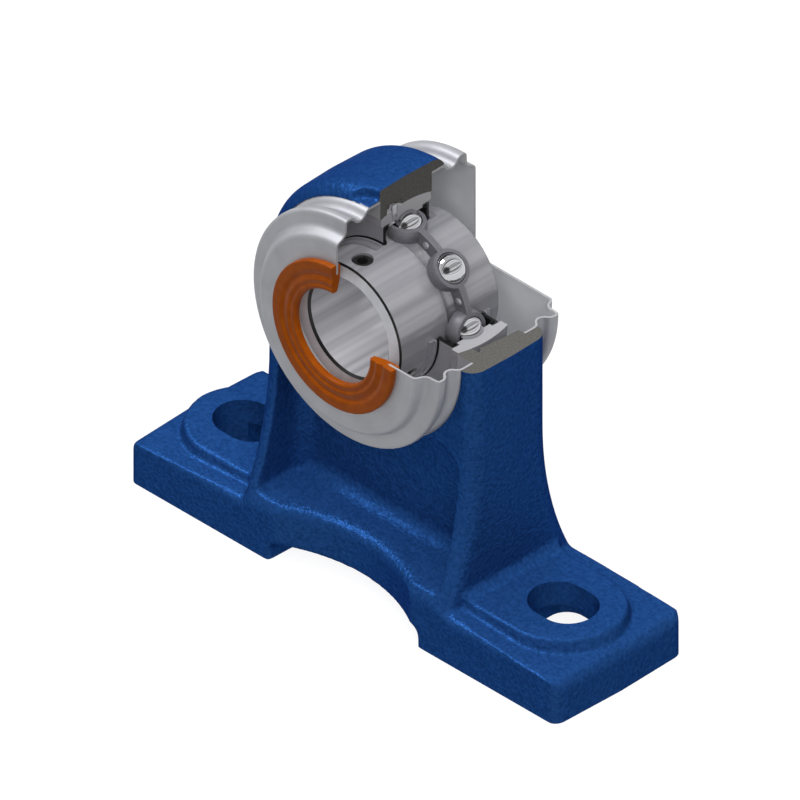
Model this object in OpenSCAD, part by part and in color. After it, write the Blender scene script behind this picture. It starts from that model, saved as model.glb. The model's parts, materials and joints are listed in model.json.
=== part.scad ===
// Pillow block bearing with pressed end covers, as a section model.
// Its upper right quarter is cut away, so the bearing inside can be seen.
// +X runs along the base, the shaft lies along Y with the open cover at -Y, and +Z is up.
// The origin is on the bottom of the base, under the middle of the bearing.

/* [Housing] */
// Height of the shaft above the base
shaft_h = 90.5; // [86:0.5:110]
// Length of the base
base_l = 165; // [160:0.5:176]
// Width of the base
base_w = 49; // [47:0.5:54]
// Height of the feet beside the pedestal
foot_h = 16; // [15.2:0.1:17]
// Height of the feet at the ends of the base
foot_end_h = 13.8; // [12.5:0.1:15]
// Radius of the base's upright corners and of its long top edges
base_round = 3; // [1.5:0.1:4]
// Radius of the top edge at the ends of the base
end_round = 4; // [2:0.1:6]
// Height of the raised pads round the bolt slots
pad_h = 18.2; // [17.9:0.1:19]
// Half width of a pad's top, and the radius of its outer end
pad_r = 17.5; // [16:0.1:18]
// How far a pad's side spreads from its top to its foot
pad_spread = 1.2; // [0.4:0.1:1.6]
// Radius of a pad's upper edge
pad_round = 0.9; // [0.5:0.1:1.2]
// Distance between the centres of the bolt slots
bolt_spacing = 121; // [118:0.5:124]
// Width of a bolt slot
slot_w = 17; // [14:0.1:18]
// Length of a bolt slot
slot_l = 21; // [19:0.1:24]
// Depth of the head along the shaft
head_depth = 29.6; // [28:0.1:32]
// Wall of the head outside the cover's seat
head_wall = 4.5; // [4:0.1:7]
// How far the head's round top is centred below the shaft
head_drop = 1; // [0:0.1:2]
// Radius of the edges of head and pedestal
head_round = 4.5; // [3:0.1:5]
// Height at which the pedestal starts to widen downwards
flare_h = 60; // [54:0.5:62]
// Radius along which the pedestal widens
flare_r = 105; // [95:1:115]
// Thickness of the web between the two pockets
web_t = 9.6; // [8:0.1:12]
// Thickness of a side flange
flange_t = 6; // [5:0.1:8]
// Height of the shelf below the pockets
shelf_h = 19.5; // [19.1:0.1:24]
// How far a pocket's top corner lies below the shaft
pocket_drop = 28.5; // [26:0.1:31]
// Wall of the ring that closes a pocket below the cover
boss_wall = 1.6; // [1.2:0.1:3]
// Radius between web and flange
pocket_round = 6; // [3:0.1:8]
// Radius between web and shelf
shelf_round = 4.5; // [2:0.1:6]
// Radius of a pocket's top corners
pocket_corner = 7; // [4:0.1:9]
// Width of the base at its waist
waist_w = 35; // [30:0.5:40]
// Radius of the waist, seen from above
waist_r = 50; // [40:1:70]
// Length of the hollow under the base
relief_l = 56; // [40:0.5:66]
// Height of the hollow under the base
relief_h = 5.8; // [5:0.1:8]

/* [Bearing] */
// Bore of the inner ring
shaft_d = 30; // [25:0.1:32]
// Outside diameter of the spherical outer ring
bearing_od = 62; // [60:0.1:66]
// Width of the outer ring
outer_w = 19; // [18.4:0.1:21]
// Width of the inner ring
inner_w = 38.1; // [34:0.1:42]
// How far the inner ring stands out in front of the bearing's middle
inner_front = 22.2; // [20:0.1:23]
// Diameter of the circle on which the ball centres lie
pitch_d = 46; // [45:0.1:47]
// Diameter of a ball
ball_d = 9.525; // [9:0.025:9.8]
// Depth of the raceways
race_depth = 1.9; // [1.2:0.05:2.2]
// Depth of the chamfer at the inner ring's bore
bore_chamfer = 0.7; // [0.3:0.1:1]
// Thickness of the cage's sheet
cage_t = 1; // [0.7:0.05:1.1]
// Radial width of the cage
cage_w = 4.2; // [3.6:0.1:4.4]
// Diameter of a cage rivet's shank
rivet_d = 1.4; // [1.1:0.1:1.8]
// Thickness of the seals' sheet insert
seal_sheet = 0.5; // [0.3:0.05:0.6]
// Diameter of the set screws
screw_d = 6; // [5:0.5:7]
// Distance of the set screws from the inner ring's front end
screw_inset = 5.5; // [5:0.1:7]
// Angle between the two set screws
screw_angle = 120; // [60:5:150]
// Size of the set screws' hexagon socket across its flats
socket_af = 3; // [2:0.5:3.5]
// Diameter of the outer ring's locating pin
pin_d = 1.6; // [1.2:0.1:2]
// How far the locating pin lies in front of the bearing's middle
pin_front = 4.4; // [3.8:0.1:5]

/* [Covers] */
// Distance of a cover's flat end from the bearing's middle
cover_reach = 26.8; // [25.5:0.1:30]
// Thickness of the cover's sheet
sheet_t = 0.7; // [0.5:0.05:0.9]
// Radial step from the bearing's outside to the cover's seat
seat_step = 5; // [4.5:0.1:6]
// Diameter of the hole in the front cover
cover_hole_d = 39.8; // [37:0.1:42]
// Diameter of the hole in the front cover's seal
lip_d = 31; // [30.6:0.1:32]
// Outside diameter of the front cover's seal
seal_d = 47.2; // [45:0.1:50]

/* [Fits] */
// Clearance between outer ring and housing seat
seat_gap = 0.08; // [0.06:0.01:0.12]
// Clearance between a cover and its seat
cover_gap = 0.1; // [0.05:0.01:0.2]
// Clearance between a ball and its raceways
ball_gap = 0.05; // [0.04:0.005:0.08]
// Clearance between a ball and its cage pocket
pocket_gap = 0.15; // [0.1:0.01:0.2]
// Clearance of pieces that are pressed or bonded together
press_gap = 0.05; // [0.04:0.005:0.08]
// Clearance of the bearing seals' lips
lip_gap = 0.12; // [0.08:0.01:0.2]
// Clearance of the locating pin in its hole
pin_gap = 0.25; // [0.2:0.01:0.3]
// Largest angle by which the bearing may tilt in its seat
tilt = 2; // [1:0.1:2.5]

/* [Hidden] */
$fn = 96;

ball_count = 8;
past = 1;                                       // how far cuts run past the faces they open
ball_r = ball_d / 2;
pitch_r = pitch_d / 2;
bearing_r = bearing_od / 2;
inner_r = pitch_r - ball_r + race_depth;        // outside of the inner ring
outer_bore_r = pitch_r + ball_r - race_depth;   // bore of the outer ring beside its raceway
seat_r = bearing_r + seat_gap;                  // spherical seat in the housing
cover_seat_r = bearing_r + seat_step;           // counterbore that holds a cover's rim
cover_r = cover_seat_r - cover_gap;             // outside of a cover's rim
head_r = cover_seat_r + head_wall;
head_z = shaft_h - head_drop;
seat_w = outer_w + 8 * cover_gap;               // width of the seat between the counterbores
boss_r = cover_seat_r + boss_wall;
pocket_half = head_r - flange_t;
pocket_top = shaft_h - pocket_drop;
slot_x = bolt_spacing / 2;
reach = base_l;                                 // longer than any cut needs

// Turns what is drawn about Z so that it lies about the shaft, with +Z along +Y
module on_shaft() {
    translate([0, 0, shaft_h]) rotate([-90, 0, 0]) children();
}

// The same, with +Z along -Y, for what is drawn as seen from the bearing's middle to the front
module on_shaft_front() {
    mirror([0, 1, 0]) on_shaft() children();
}

// Takes the upper right quarter away
module cut_quarter() {
    difference() {
        children();
        translate([0, -reach / 2, shaft_h]) cube([reach, reach, reach]);
    }
}

// A rectangle on the X axis whose two upper corners are round
module arch(half_w, h, r) {
    translate([-half_w, 0]) square([2 * half_w, h - r]);
    translate([-(half_w - r), 0]) square([2 * (half_w - r), h]);
    for (side = [-1, 1]) translate([side * (half_w - r), h - r]) circle(r);
}

// A rectangle with four round corners
module rounded_rectangle(w, d, r) {
    square([w, d - 2 * r], center = true);
    square([w - 2 * r, d], center = true);
    for (x = [-1, 1], y = [-1, 1])
        translate([x * (w / 2 - r), y * (d / 2 - r)]) circle(r);
}

// Extrudes an outline drawn in X and Z along Y, centred
module along_y(l) {
    rotate([90, 0, 0]) linear_extrude(l, center = true) children();
}

// Extrudes an outline drawn in Y and Z along X, centred
module along_x(l) {
    rotate([90, 0, 90]) linear_extrude(l, center = true) children();
}

// Housing: the foot plate with its round edges
module foot_plate() {
    intersection() {
        linear_extrude(foot_h) rounded_rectangle(base_l, base_w, base_round);
        along_x(base_l + 2 * past) arch(base_w / 2, foot_h, base_round);
        along_y(base_w + 2 * past) polygon(rounded_path([
            [-base_l / 2, -past],
            [-base_l / 2, foot_end_h],
            [-pocket_half, foot_h],
            [pocket_half, foot_h],
            [base_l / 2, foot_end_h],
            [base_l / 2, -past]
        ], end_round, 9));
    }
}

// Housing: half of a pad's section, with its round upper edge and its slanted side
module pad_section() {
    low = foot_end_h - end_round;
    polygon(concat([[0, low]], rounded_path([
        [0, pad_h],
        [pad_r, pad_h],
        [pad_r + pad_spread, foot_end_h],
        [pad_r + pad_spread, low]
    ], pad_round)));
}

// Housing: the raised pad round one bolt slot
module pad(side) {
    translate([side * slot_x, 0, 0]) rotate([0, 0, side > 0 ? -90 : 90]) {
        rotate_extrude(angle = 180) pad_section();
        rotate([90, 0, 0]) linear_extrude(slot_x - head_r + head_round) {
            pad_section();
            mirror([1, 0]) pad_section();
        }
    }
}

// Housing: round top of the head, on the shaft side of head_z
module head_top() {
    translate([0, 0, head_z]) rotate([90, 0, 0]) rotate_extrude(angle = 180)
        intersection() {
            rounded_rectangle(2 * head_r, head_depth, head_round);
            translate([0, -head_depth]) square([head_r + 1, 2 * head_depth]);
        }
}

// Housing: front half of the pedestal's foot, which widens along an arc with its edges round
module flare() {
    intersection() {
        translate([0, -(head_depth / 2 + flare_r), flare_h])
            rotate([0, -90, 0]) rotate([0, 0, 90])
                rotate_extrude(angle = asin((flare_h - foot_h / 2) / flare_r) + 2)
                    translate([flare_r + base_w, 0]) rotate(90) arch(head_r, base_w, head_round);
        translate([-reach / 2, -base_w / 2, foot_h / 2]) cube([reach, base_w / 2, reach]);
    }
}

// Housing: head and pedestal before their pockets are cut
module pedestal() {
    head_top();
    translate([0, 0, flare_h]) linear_extrude(head_z - flare_h)
        rounded_rectangle(2 * head_r, head_depth, head_round);
    flare();
    mirror([0, 1, 0]) flare();
}

// Housing: what a pocket takes from the front of the pedestal
module pocket() {
    web = web_t / 2;
    intersection() {
        along_y(2 * base_w) difference() {
            translate([0, shelf_h]) arch(pocket_half, pocket_top - shelf_h, pocket_corner);
            translate([0, shaft_h]) circle(boss_r);
        }
        translate([0, -base_w, 0]) linear_extrude(reach)
            arch(pocket_half, base_w - web, pocket_round);
        along_x(2 * base_w) translate([-base_w, shelf_h]) {
            translate([0, shelf_round]) square([base_w - web, reach]);
            square([base_w - web - shelf_round, reach]);
            translate([base_w - web - shelf_round, shelf_round]) circle(shelf_round);
        }
    }
}

// Housing: what the waist takes from the front of the base, with its upper edge round
module waist() {
    translate([0, -(waist_w / 2 + waist_r), 0]) {
        translate([0, 0, -past]) cylinder(h = foot_h + shelf_h, r = waist_r);
        rotate_extrude() translate([waist_r, shelf_h]) difference() {
            translate([-past, -base_round]) square([base_round + past, base_round + past]);
            translate([base_round, -base_round]) circle(base_round);
        }
    }
}

// Housing: the hollow under the base, between the feet
module relief() {
    along_y(2 * base_w) translate([0, -past]) arch(relief_l / 2, relief_h + past, base_round);
}

// Housing: one bolt slot
module slot(side) {
    translate([side * slot_x, 0, -past]) linear_extrude(pad_h + 2 * past) {
        square([slot_l - slot_w, slot_w], center = true);
        for (end = [-1, 1]) translate([end * (slot_l - slot_w) / 2, 0]) circle(slot_w / 2);
    }
}

// Housing: spherical seat, the covers' seats, grease groove and the pocket for the locating pin
groove_w = 1.6;
groove_depth = 2;
seat_lip = 1.6;                                      // how far the seat's edges close in on the ring
pin_r = pin_d / 2;
pin_travel = bearing_r * sin(tilt) + 2 * pin_gap;    // how far the pin swings along the shaft

module seat() {
    on_shaft() {
        sphere(seat_r);
        cylinder(h = base_w, r = bearing_r - seat_lip, center = true);
        for (end = [0, 1]) mirror([0, 0, end])
            translate([0, 0, seat_w / 2]) cylinder(h = base_w, r = cover_seat_r);
        translate([0, 0, -pin_front - groove_w / 2]) cylinder(h = groove_w, r = seat_r + groove_depth);
    }
    translate([0, -pin_front, shaft_h]) linear_extrude(bearing_r + pin_head + groove_depth / 2) {
        square([pin_d + 4 * pin_gap, 2 * pin_travel], center = true);
        for (end = [-1, 1]) translate([0, end * pin_travel]) circle(pin_r + 2 * pin_gap);
    }
}

// Housing: rear slots through which the bearing is put in crosswise before it is turned
loading_start = 3.6;
loading_shallow = 1;
loading_deep = 2.6;

module loading_slots() {
    slot_h = outer_w + 10 * cover_gap;
    for (side = [0, 1]) mirror([side, 0, 0])
        translate([0, 0, shaft_h - slot_h / 2]) linear_extrude(slot_h)
            polygon([
                [bearing_r / 2, -loading_start],
                [bearing_r + loading_shallow, -loading_start],
                [bearing_r + loading_deep, seat_w / 2 + past],
                [bearing_r / 2, seat_w / 2 + past]
            ]);
}

// Housing: notch in the front rim at the top, where the cover is prised off
notch_r = 7.5;
notch_back = 10;

module notch() {
    translate([0, -(notch_back + notch_r), shaft_h + bearing_r])
        cylinder(h = reach, r = notch_r);
}

module housing() {
    color("#1d4c8e") cut_quarter() difference() {
        union() {
            foot_plate();
            pedestal();
            pad(1);
            pad(-1);
        }
        for (face = [0, 1]) mirror([0, face, 0]) {
            pocket();
            waist();
        }
        relief();
        slot(1);
        slot(-1);
        seat();
        loading_slots();
        notch();
    }
}

// Unit vector from a to b
function heading(a, b) = (b - a) / norm(b - a);

// Points of a path with each inner corner rounded by a radius, in steps short arcs
function rounded_path(points, radius, steps = 5) = [
    for (i = [0 : len(points) - 1])
        if (i == 0 || i == len(points) - 1) points[i]
        else
            let (
                u = heading(points[i], points[i - 1]),
                v = heading(points[i], points[i + 1]),
                half = acos(u * v) / 2,
                centre = points[i] + (u + v) / norm(u + v) * radius / sin(half),
                from = points[i] + u * radius / tan(half) - centre,
                to = points[i] + v * radius / tan(half) - centre,
                turn = atan2(from.x * to.y - from.y * to.x, from * to)
            )
            each [
                for (k = [0 : steps])
                    let (a = turn * k / steps)
                    centre + [from.x * cos(a) - from.y * sin(a), from.x * sin(a) + from.y * cos(a)]
            ]
];

// The same path moved sideways by d, to the right of its direction
function beside(points, d) = [
    for (i = [0 : len(points) - 1])
        let (
            before = heading(points[max(i - 1, 0)], points[max(i, 1)]),
            after = heading(points[min(i, len(points) - 2)], points[min(i + 1, len(points) - 1)]),
            mid = (before + after) / norm(before + after)
        )
        points[i] + [mid.y, -mid.x] * d / (mid * before)
];

function reversed(list) = [for (i = [len(list) - 1 : -1 : 0]) list[i]];

// A sheet of thickness t whose outer side follows the path
module sheet_section(points, t) {
    polygon(concat(points, reversed(beside(points, t))));
}

// Half section of a pressed cover, as radius and distance from the bearing's middle
rib_depth = 2.3;
rib_slope = 1.6;
rib_low = 16.6;
rib_high = 18.6;
step_h = 3.4;
step_in = 4.5;
step_slope = 1.6;
press_round = 0.75;

module cover_section(hole_r) {
    path = [
        [hole_r, cover_reach],
        [cover_r - step_in - step_slope, cover_reach],
        [cover_r - step_in, cover_reach - step_h],
        [cover_r, cover_reach - step_h],
        [cover_r, rib_high + rib_slope],
        [cover_r - rib_depth, rib_high],
        [cover_r - rib_depth, rib_low],
        [cover_r, rib_low - rib_slope],
        [cover_r, seat_w / 2 + cover_gap]
    ];
    sheet_section(rounded_path(path, press_round), sheet_t);
}

module front_cover() {
    color("#96979c") cut_quarter() on_shaft_front() rotate_extrude() cover_section(cover_hole_d / 2);
}

module rear_cover() {
    color("#96979c") cut_quarter() on_shaft() rotate_extrude() cover_section(0);
}

// Rubber seal that is snapped over the edge of the front cover's hole, with a bead round its lip
rim_t = 1.5;         // thickness of the seal in front of the cover, and of its flange behind
bead_h = 0.7;        // height of the bead, and depth of the groove beside it
bead_w = 1.4;
rubber_edge = 0.5;   // bevel of the rubber's edges

module front_cover_seal() {
    edge_r = cover_hole_d / 2 - press_gap;
    seal_r = seal_d / 2;
    lip_r = lip_d / 2;
    front = cover_reach + press_gap;
    face = front + rim_t;
    back = cover_reach - sheet_t - press_gap;
    color("#c05a1c") cut_quarter() on_shaft_front() rotate_extrude() polygon([
        [lip_r, front],
        [lip_r + rubber_edge, front - bead_h],
        [lip_r + bead_w, back - rubber_edge],
        [edge_r + rubber_edge, back - bead_h],
        [seal_r - rubber_edge, back - bead_h],
        [seal_r - rubber_edge / 2, back],
        [edge_r, back],
        [edge_r, front],
        [seal_r, front],
        [seal_r, face - rubber_edge],
        [seal_r - rubber_edge, face],
        [lip_r + 2 * bead_w + rubber_edge, face],
        [lip_r + 2 * bead_w, face - bead_h],
        [lip_r + 1.5 * bead_w, face - bead_h],
        [lip_r + bead_w, face + bead_h],
        [lip_r + rubber_edge, face + bead_h],
        [lip_r, face]
    ]);
}

// Groove that the balls run in, as a ring about Z
module raceway() {
    rotate_extrude() translate([pitch_r, 0]) circle(ball_r + ball_gap);
}

seal_seat_h = 1.1;
seal_seat_r = outer_bore_r + seal_seat_h;
seal_seat_start = 6.3;

module outer_ring() {
    half = outer_w / 2;
    color("#a0a0a6") cut_quarter() difference() {
        on_shaft() difference() {
            rotate_extrude() difference() {
                intersection() {
                    circle(bearing_r);
                    translate([0, -half]) square([bearing_r, outer_w]);
                }
                translate([0, -half - 1]) square([outer_bore_r, outer_w + 2]);
                for (end = [0, 1]) mirror([0, end])
                    translate([0, seal_seat_start]) square([seal_seat_r, half]);
                translate([pitch_r, 0]) circle(ball_r + ball_gap);
            }
        }
        translate([0, -pin_front, shaft_h + outer_bore_r]) cylinder(h = bearing_r, r = pin_r + pin_gap);
    }
}

// Pin that stands in the outer ring and reaches into the housing
pin_head = 1;
pin_foot = 2.2;

module locating_pin() {
    color("#c9c9ce") cut_quarter()
        translate([0, -pin_front, shaft_h + bearing_r - pin_foot])
            cylinder(h = pin_foot + pin_head, r = pin_r);
}

// Half section of the bearing seal's sheet insert
plate_set_back = 0.7;
plate_rim = 2.1;
lip_w = 1.5;
plate_out = seal_seat_r - lip_gap;
plate_face = outer_w / 2 - plate_set_back;
plate_back = plate_face - plate_rim;
plate_in = inner_r + lip_w;

module seal_plate_section() {
    path = [
        [plate_in, plate_face],
        [plate_out, plate_face],
        [plate_out, plate_back]
    ];
    sheet_section(rounded_path(path, plate_set_back), seal_sheet);
}

// Half section of the bearing seal's rubber, which lines the insert and rubs on the inner ring
rubber_t = 0.5;      // thickness of the rubber on the insert
rim_gap = 0.9;       // space that the insert's bend takes beside the rubber

module seal_lip_section() {
    inside = plate_face - seal_sheet - press_gap;
    rim = plate_out - rim_gap - press_gap;
    lip = inner_r + lip_gap;
    polygon([
        [plate_in - press_gap, plate_face],
        [plate_in - press_gap, inside],
        [rim, inside],
        [rim, plate_back],
        [rim - rubber_t, plate_back],
        [rim - 2 * rubber_t, inside - rubber_t],
        [plate_in + rubber_t, inside - rubber_t],
        [lip + rubber_t, inside - 2 * rubber_t],
        [lip, inside - 1.5 * rubber_t],
        [lip + rubber_t / 2, inside],
        [lip + rubber_t, plate_face]
    ]);
}

// Half section of the slinger ring on the inner ring
flinger_t = 0.6;
flinger_h = 1.2;
flinger_l = 2.2;
flinger_inset = 0.1;

module flinger_section() {
    r = inner_r + press_gap;
    translate([r, outer_w / 2 - flinger_inset]) {
        square([flinger_h, flinger_t]);
        square([flinger_t, flinger_l]);
    }
}

module front_seal_plate() {
    color("#55555a") cut_quarter() on_shaft_front() rotate_extrude() seal_plate_section();
}

module rear_seal_plate() {
    color("#55555a") cut_quarter() on_shaft() rotate_extrude() seal_plate_section();
}

module front_seal_lip() {
    color("#232326") cut_quarter() on_shaft_front() rotate_extrude() seal_lip_section();
}

module rear_seal_lip() {
    color("#232326") cut_quarter() on_shaft() rotate_extrude() seal_lip_section();
}

module front_flinger() {
    color("#b4b4ba") on_shaft_front() rotate_extrude() flinger_section();
}

module rear_flinger() {
    color("#b4b4ba") on_shaft() rotate_extrude() flinger_section();
}

// Puts what is drawn on +Z at a set screw's place, with the screw's axis through the shaft's
screw_y = -(inner_front - screw_inset);

module at_screw(angle) {
    translate([0, screw_y, shaft_h]) rotate([0, angle, 0]) children();
}

ring_bevel = 0.5;     // bevel at the outer edges of the inner ring's ends

module inner_ring() {
    wall = inner_r - shaft_d / 2;
    color("#a5a5ab") difference() {
        on_shaft() translate([0, 0, -inner_front]) difference() {
            rotate_extrude() polygon([
                [shaft_d / 2 + bore_chamfer, 0],
                [inner_r - ring_bevel, 0],
                [inner_r, ring_bevel],
                [inner_r, inner_w - ring_bevel],
                [inner_r - ring_bevel, inner_w],
                [shaft_d / 2 + bore_chamfer, inner_w],
                [shaft_d / 2, inner_w - bore_chamfer],
                [shaft_d / 2, bore_chamfer]
            ]);
            translate([0, 0, inner_front]) raceway();
        }
        for (angle = [0, screw_angle]) at_screw(angle)
            cylinder(h = inner_r + wall, r = screw_d / 2 + press_gap);
    }
}

// A headless screw with a hexagon socket and a cone point, screwed down to the shaft
screw_sunk = 0.5;     // how far the screw's top lies below the ring
screw_bevel = 0.4;    // bevel at the screw's top
point_bevel = 0.8;    // bevel at the screw's point
socket_depth = 2.2;

module set_screw(angle) {
    low = shaft_d / 2 + press_gap;
    top = inner_r - screw_sunk;
    r = screw_d / 2;
    color("#2b2b2e") at_screw(angle) difference() {
        rotate_extrude() polygon([
            [0, low],
            [r - point_bevel, low],
            [r, low + point_bevel],
            [r, top - screw_bevel],
            [r - screw_bevel, top],
            [0, top]
        ]);
        translate([0, 0, top - socket_depth])
            cylinder(h = 2 * socket_depth, r = socket_af / 2 / cos(30), $fn = 6);
    }
}

module set_screw_1() {
    set_screw(0);
}

module set_screw_2() {
    set_screw(screw_angle);
}

// Half of the riveted ribbon cage, on the +Z side of the balls' plane
rivet_r = rivet_d / 2;

module ball_places() {
    for (i = [0 : ball_count - 1])
        rotate([0, 0, i * 360 / ball_count]) translate([pitch_r, 0, 0]) children();
}

module rivet_places() {
    rotate([0, 0, 180 / ball_count]) ball_places() children();
}

module cage_half() {
    pocket_r = ball_r + pocket_gap;
    seam = press_gap / 2;
    intersection() {
        difference() {
            union() {
                translate([0, 0, seam]) cylinder(h = cage_t, r = pitch_r + cage_w);
                ball_places() rotate([0, 90, 0]) sphere(pocket_r + cage_t);
            }
            ball_places() rotate([0, 90, 0]) sphere(pocket_r);
            rivet_places() cylinder(h = 4 * cage_t, r = rivet_r + press_gap, center = true);
        }
        translate([0, 0, seam]) difference() {
            cylinder(h = 2 * ball_r, r = pitch_r + cage_w / 2);
            cylinder(h = 5 * ball_r, r = pitch_r - cage_w / 2, center = true);
        }
    }
}

module cage_front() {
    color("#4a4a4f") on_shaft_front() cage_half();
}

module cage_rear() {
    color("#4a4a4f") on_shaft() cage_half();
}

// Rivets that join the cage's halves, each with a head on both sides
rivet_head_h = 0.5;

module cage_rivets() {
    seat = cage_t + press_gap;
    head_d = 2 * rivet_d;
    color("#c9c9ce") on_shaft() rivet_places() rotate_extrude() polygon([
        [0, -seat - rivet_head_h],
        [0.3 * head_d, -seat - rivet_head_h],
        [head_d / 2, -seat - rivet_head_h / 2],
        [head_d / 2, -seat],
        [rivet_r, -seat],
        [rivet_r, seat],
        [head_d / 2, seat],
        [head_d / 2, seat + rivet_head_h / 2],
        [0.3 * head_d, seat + rivet_head_h],
        [0, seat + rivet_head_h]
    ]);
}

module ball(i) {
    color("#d8d8dc") translate([0, 0, shaft_h]) rotate([0, (i - 1) * 360 / ball_count, 0])
        translate([0, 0, pitch_r]) sphere(ball_r);
}

housing();
front_cover();
front_cover_seal();
rear_cover();
locating_pin();
outer_ring();
front_seal_plate();
rear_seal_plate();
front_seal_lip();
rear_seal_lip();
inner_ring();
set_screw_1();
set_screw_2();
front_flinger();
rear_flinger();
cage_front();
cage_rear();
cage_rivets();
ball(1);  // ball_1
ball(2);  // ball_2
ball(3);  // ball_3
ball(4);  // ball_4
ball(5);  // ball_5
ball(6);  // ball_6
ball(7);  // ball_7
ball(8);  // ball_8
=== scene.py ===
"""Looks of a pillow block bearing, shown as a section model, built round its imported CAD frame."""
import json
import math

import bmesh
import bpy
import numpy as np
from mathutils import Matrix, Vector


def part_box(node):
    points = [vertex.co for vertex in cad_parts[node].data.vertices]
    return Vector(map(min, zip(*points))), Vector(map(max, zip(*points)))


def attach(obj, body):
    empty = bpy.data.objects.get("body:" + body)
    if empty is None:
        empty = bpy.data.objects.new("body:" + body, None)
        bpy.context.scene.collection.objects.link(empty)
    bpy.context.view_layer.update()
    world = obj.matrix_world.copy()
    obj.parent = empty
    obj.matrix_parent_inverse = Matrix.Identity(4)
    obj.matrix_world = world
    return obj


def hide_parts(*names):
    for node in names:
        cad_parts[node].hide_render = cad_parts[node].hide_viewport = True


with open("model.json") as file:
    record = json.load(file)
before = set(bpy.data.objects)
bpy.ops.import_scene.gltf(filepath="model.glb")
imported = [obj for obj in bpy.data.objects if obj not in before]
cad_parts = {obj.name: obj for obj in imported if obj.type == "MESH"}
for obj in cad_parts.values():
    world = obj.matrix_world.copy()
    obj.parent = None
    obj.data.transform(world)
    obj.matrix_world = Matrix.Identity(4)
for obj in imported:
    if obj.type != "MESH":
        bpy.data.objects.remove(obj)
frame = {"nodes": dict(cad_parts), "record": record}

MM = 0.001
NODES = frame["nodes"]
MOUNTS = {mount["name"]: mount for mount in frame["record"]["mounts"]}
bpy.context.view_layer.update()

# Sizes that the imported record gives, in metres like all that follow
SHAFT_Z = MOUNTS["shaft_bore"]["pos_m"][2]
BORE_R = MOUNTS["shaft_bore"]["dims"]["r_mm"] * MM
FOOT_SLOTS = MOUNTS["foot_slots"]["dims"]
SLOT_X = FOOT_SLOTS["spacing_x_mm"] / 2 * MM
SLOT_R = FOOT_SLOTS["hole_r_mm"] * MM
SLOT_HALF = FOOT_SLOTS["slot_length_mm"] / 2 * MM - SLOT_R   # from a slot's middle to a round end's centre

# The housing, as the solids have it
COVER_SEAT_R = 36 * MM      # counterbore that holds the covers' rims
SEAT_R = 31.08 * MM         # spherical seat of the outer ring
SEAT_END = 9.6 * MM         # where the sphere ends in a chamfer
SEAT_MOUTH_R = 29.8 * MM    # outer edge of that chamfer
SEAT_HALF = 9.9 * MM        # half width of the seat between the counterbores
GROOVE_R = 33.08 * MM       # grease groove in the seat
GROOVE = (-5.2 * MM, -3.6 * MM)   # its two sides
HEAD_HALF = 14.8 * MM       # half depth of the head
HEAD_SIDE = 40.5 * MM       # side faces of the pedestal
PAD_TOP = 18.2 * MM         # top of the raised pads round the slots
WAIST_HALF = 29 * MM        # where the feet end at the tunnel under the waist
PIN_Y = -4.4 * MM           # middle of the locating pin, in the groove
PIN_SWING = 1.58 * MM       # how far the pin moves to either side in its pocket
PIN_POCKET_R = 1.3 * MM
PIN_POCKET_TOP = 33 * MM    # above the shaft

# Slots by which the outer ring enters its seat crosswise: the right one's (x, y) corners
LOADING_SLOT = [(15.5 * MM, -3.6 * MM), (32 * MM, -3.6 * MM), (33.6 * MM, 10.9 * MM), (15.5 * MM, 10.9 * MM)]
LOADING_DEPTH = 10 * MM     # above and below the shaft

# Hollow under each foot: its middle, its corners' centres from there, their radius and its top
CORE_X = 55.9 * MM
CORE_HALF = (5.6 * MM, 11.5 * MM)
CORE_R = 6 * MM
CORE_TOP = 10.6 * MM

# How the casting is made
PLANING = 3 * MM            # metal under the feet that is planed off after casting
GRAIN = 0.52 * MM           # size of the casting's faces while it is smoothed
FACES_KEPT = 0.36           # share of them kept, most of them where it curves
DRAFT = 0.03                # how fast its walls lean in, away from the parting line
PLUG_OVERLAP = 0.3 * MM     # how far a plug that fills a hole reaches into the metal round it
SUNK = 0.05 * MM            # how far its ends lie below the faces that it fills
FILLET = 2.8 * MM           # fillet between a foot and the pedestal
FILLET_STEPS = 6

# The cage
BALLS = 8
CAGE_PITCH_R = 23 * MM      # circle of the balls' centres and the cage's rivets
RIVET_HEAD_R = 1.15 * MM
RIVET_HEAD = 0.5 * MM       # height of a head

# The covers and the orange seal: radii, and distances along the shaft from the middle of the bearing
SHEET = 0.7 * MM            # thickness of the covers' sheet
COVER_FACE = 26.8 * MM      # outside of their flat face
COVER_RIM_R = 35.9 * MM
BEAD_R = 33.6 * MM          # bottom of the groove behind their bead
COVER_HOLE_R = 19.9 * MM
CLOSED_R = 0.05 * MM        # hole of the closed cover, too small to see
BEND = 1.3 * MM             # how far the bends of the sheet reach along it
LIP_R = 14.3 * MM           # inner edge of the seal's lip
SEAL_R = 23 * MM
SEAL_FACE = 28.6 * MM
SEAL_BEND = 0.5 * MM        # how far the seal's bends reach

MERGE = 0.001 * MM          # corners nearer than this are one
CUT_TOLERANCE = 0.002 * MM  # how close a corner lies to a cut face that it is on
FAR = 200 * MM              # beyond every part of the object

# The photo's view: orthographic, from the front right and above
CAMERA_AZIMUTH = 45
CAMERA_ELEVATION = 35.264
CAMERA_DISTANCE = 0.8
PIXELS_PER_MM = 3.68
PHOTO_SIDE = 800
AIM_PIXEL = (406, 566.5)    # where the origin of the frame is in the photo


def linear(hex_colour):
    """Linear RGBA of an sRGB colour written as #rrggbb."""
    parts = [int(hex_colour[i:i + 2], 16) / 255 for i in (1, 3, 5)]
    return [p / 12.92 if p <= 0.04045 else ((p + 0.055) / 1.055) ** 2.4 for p in parts] + [1.0]


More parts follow.
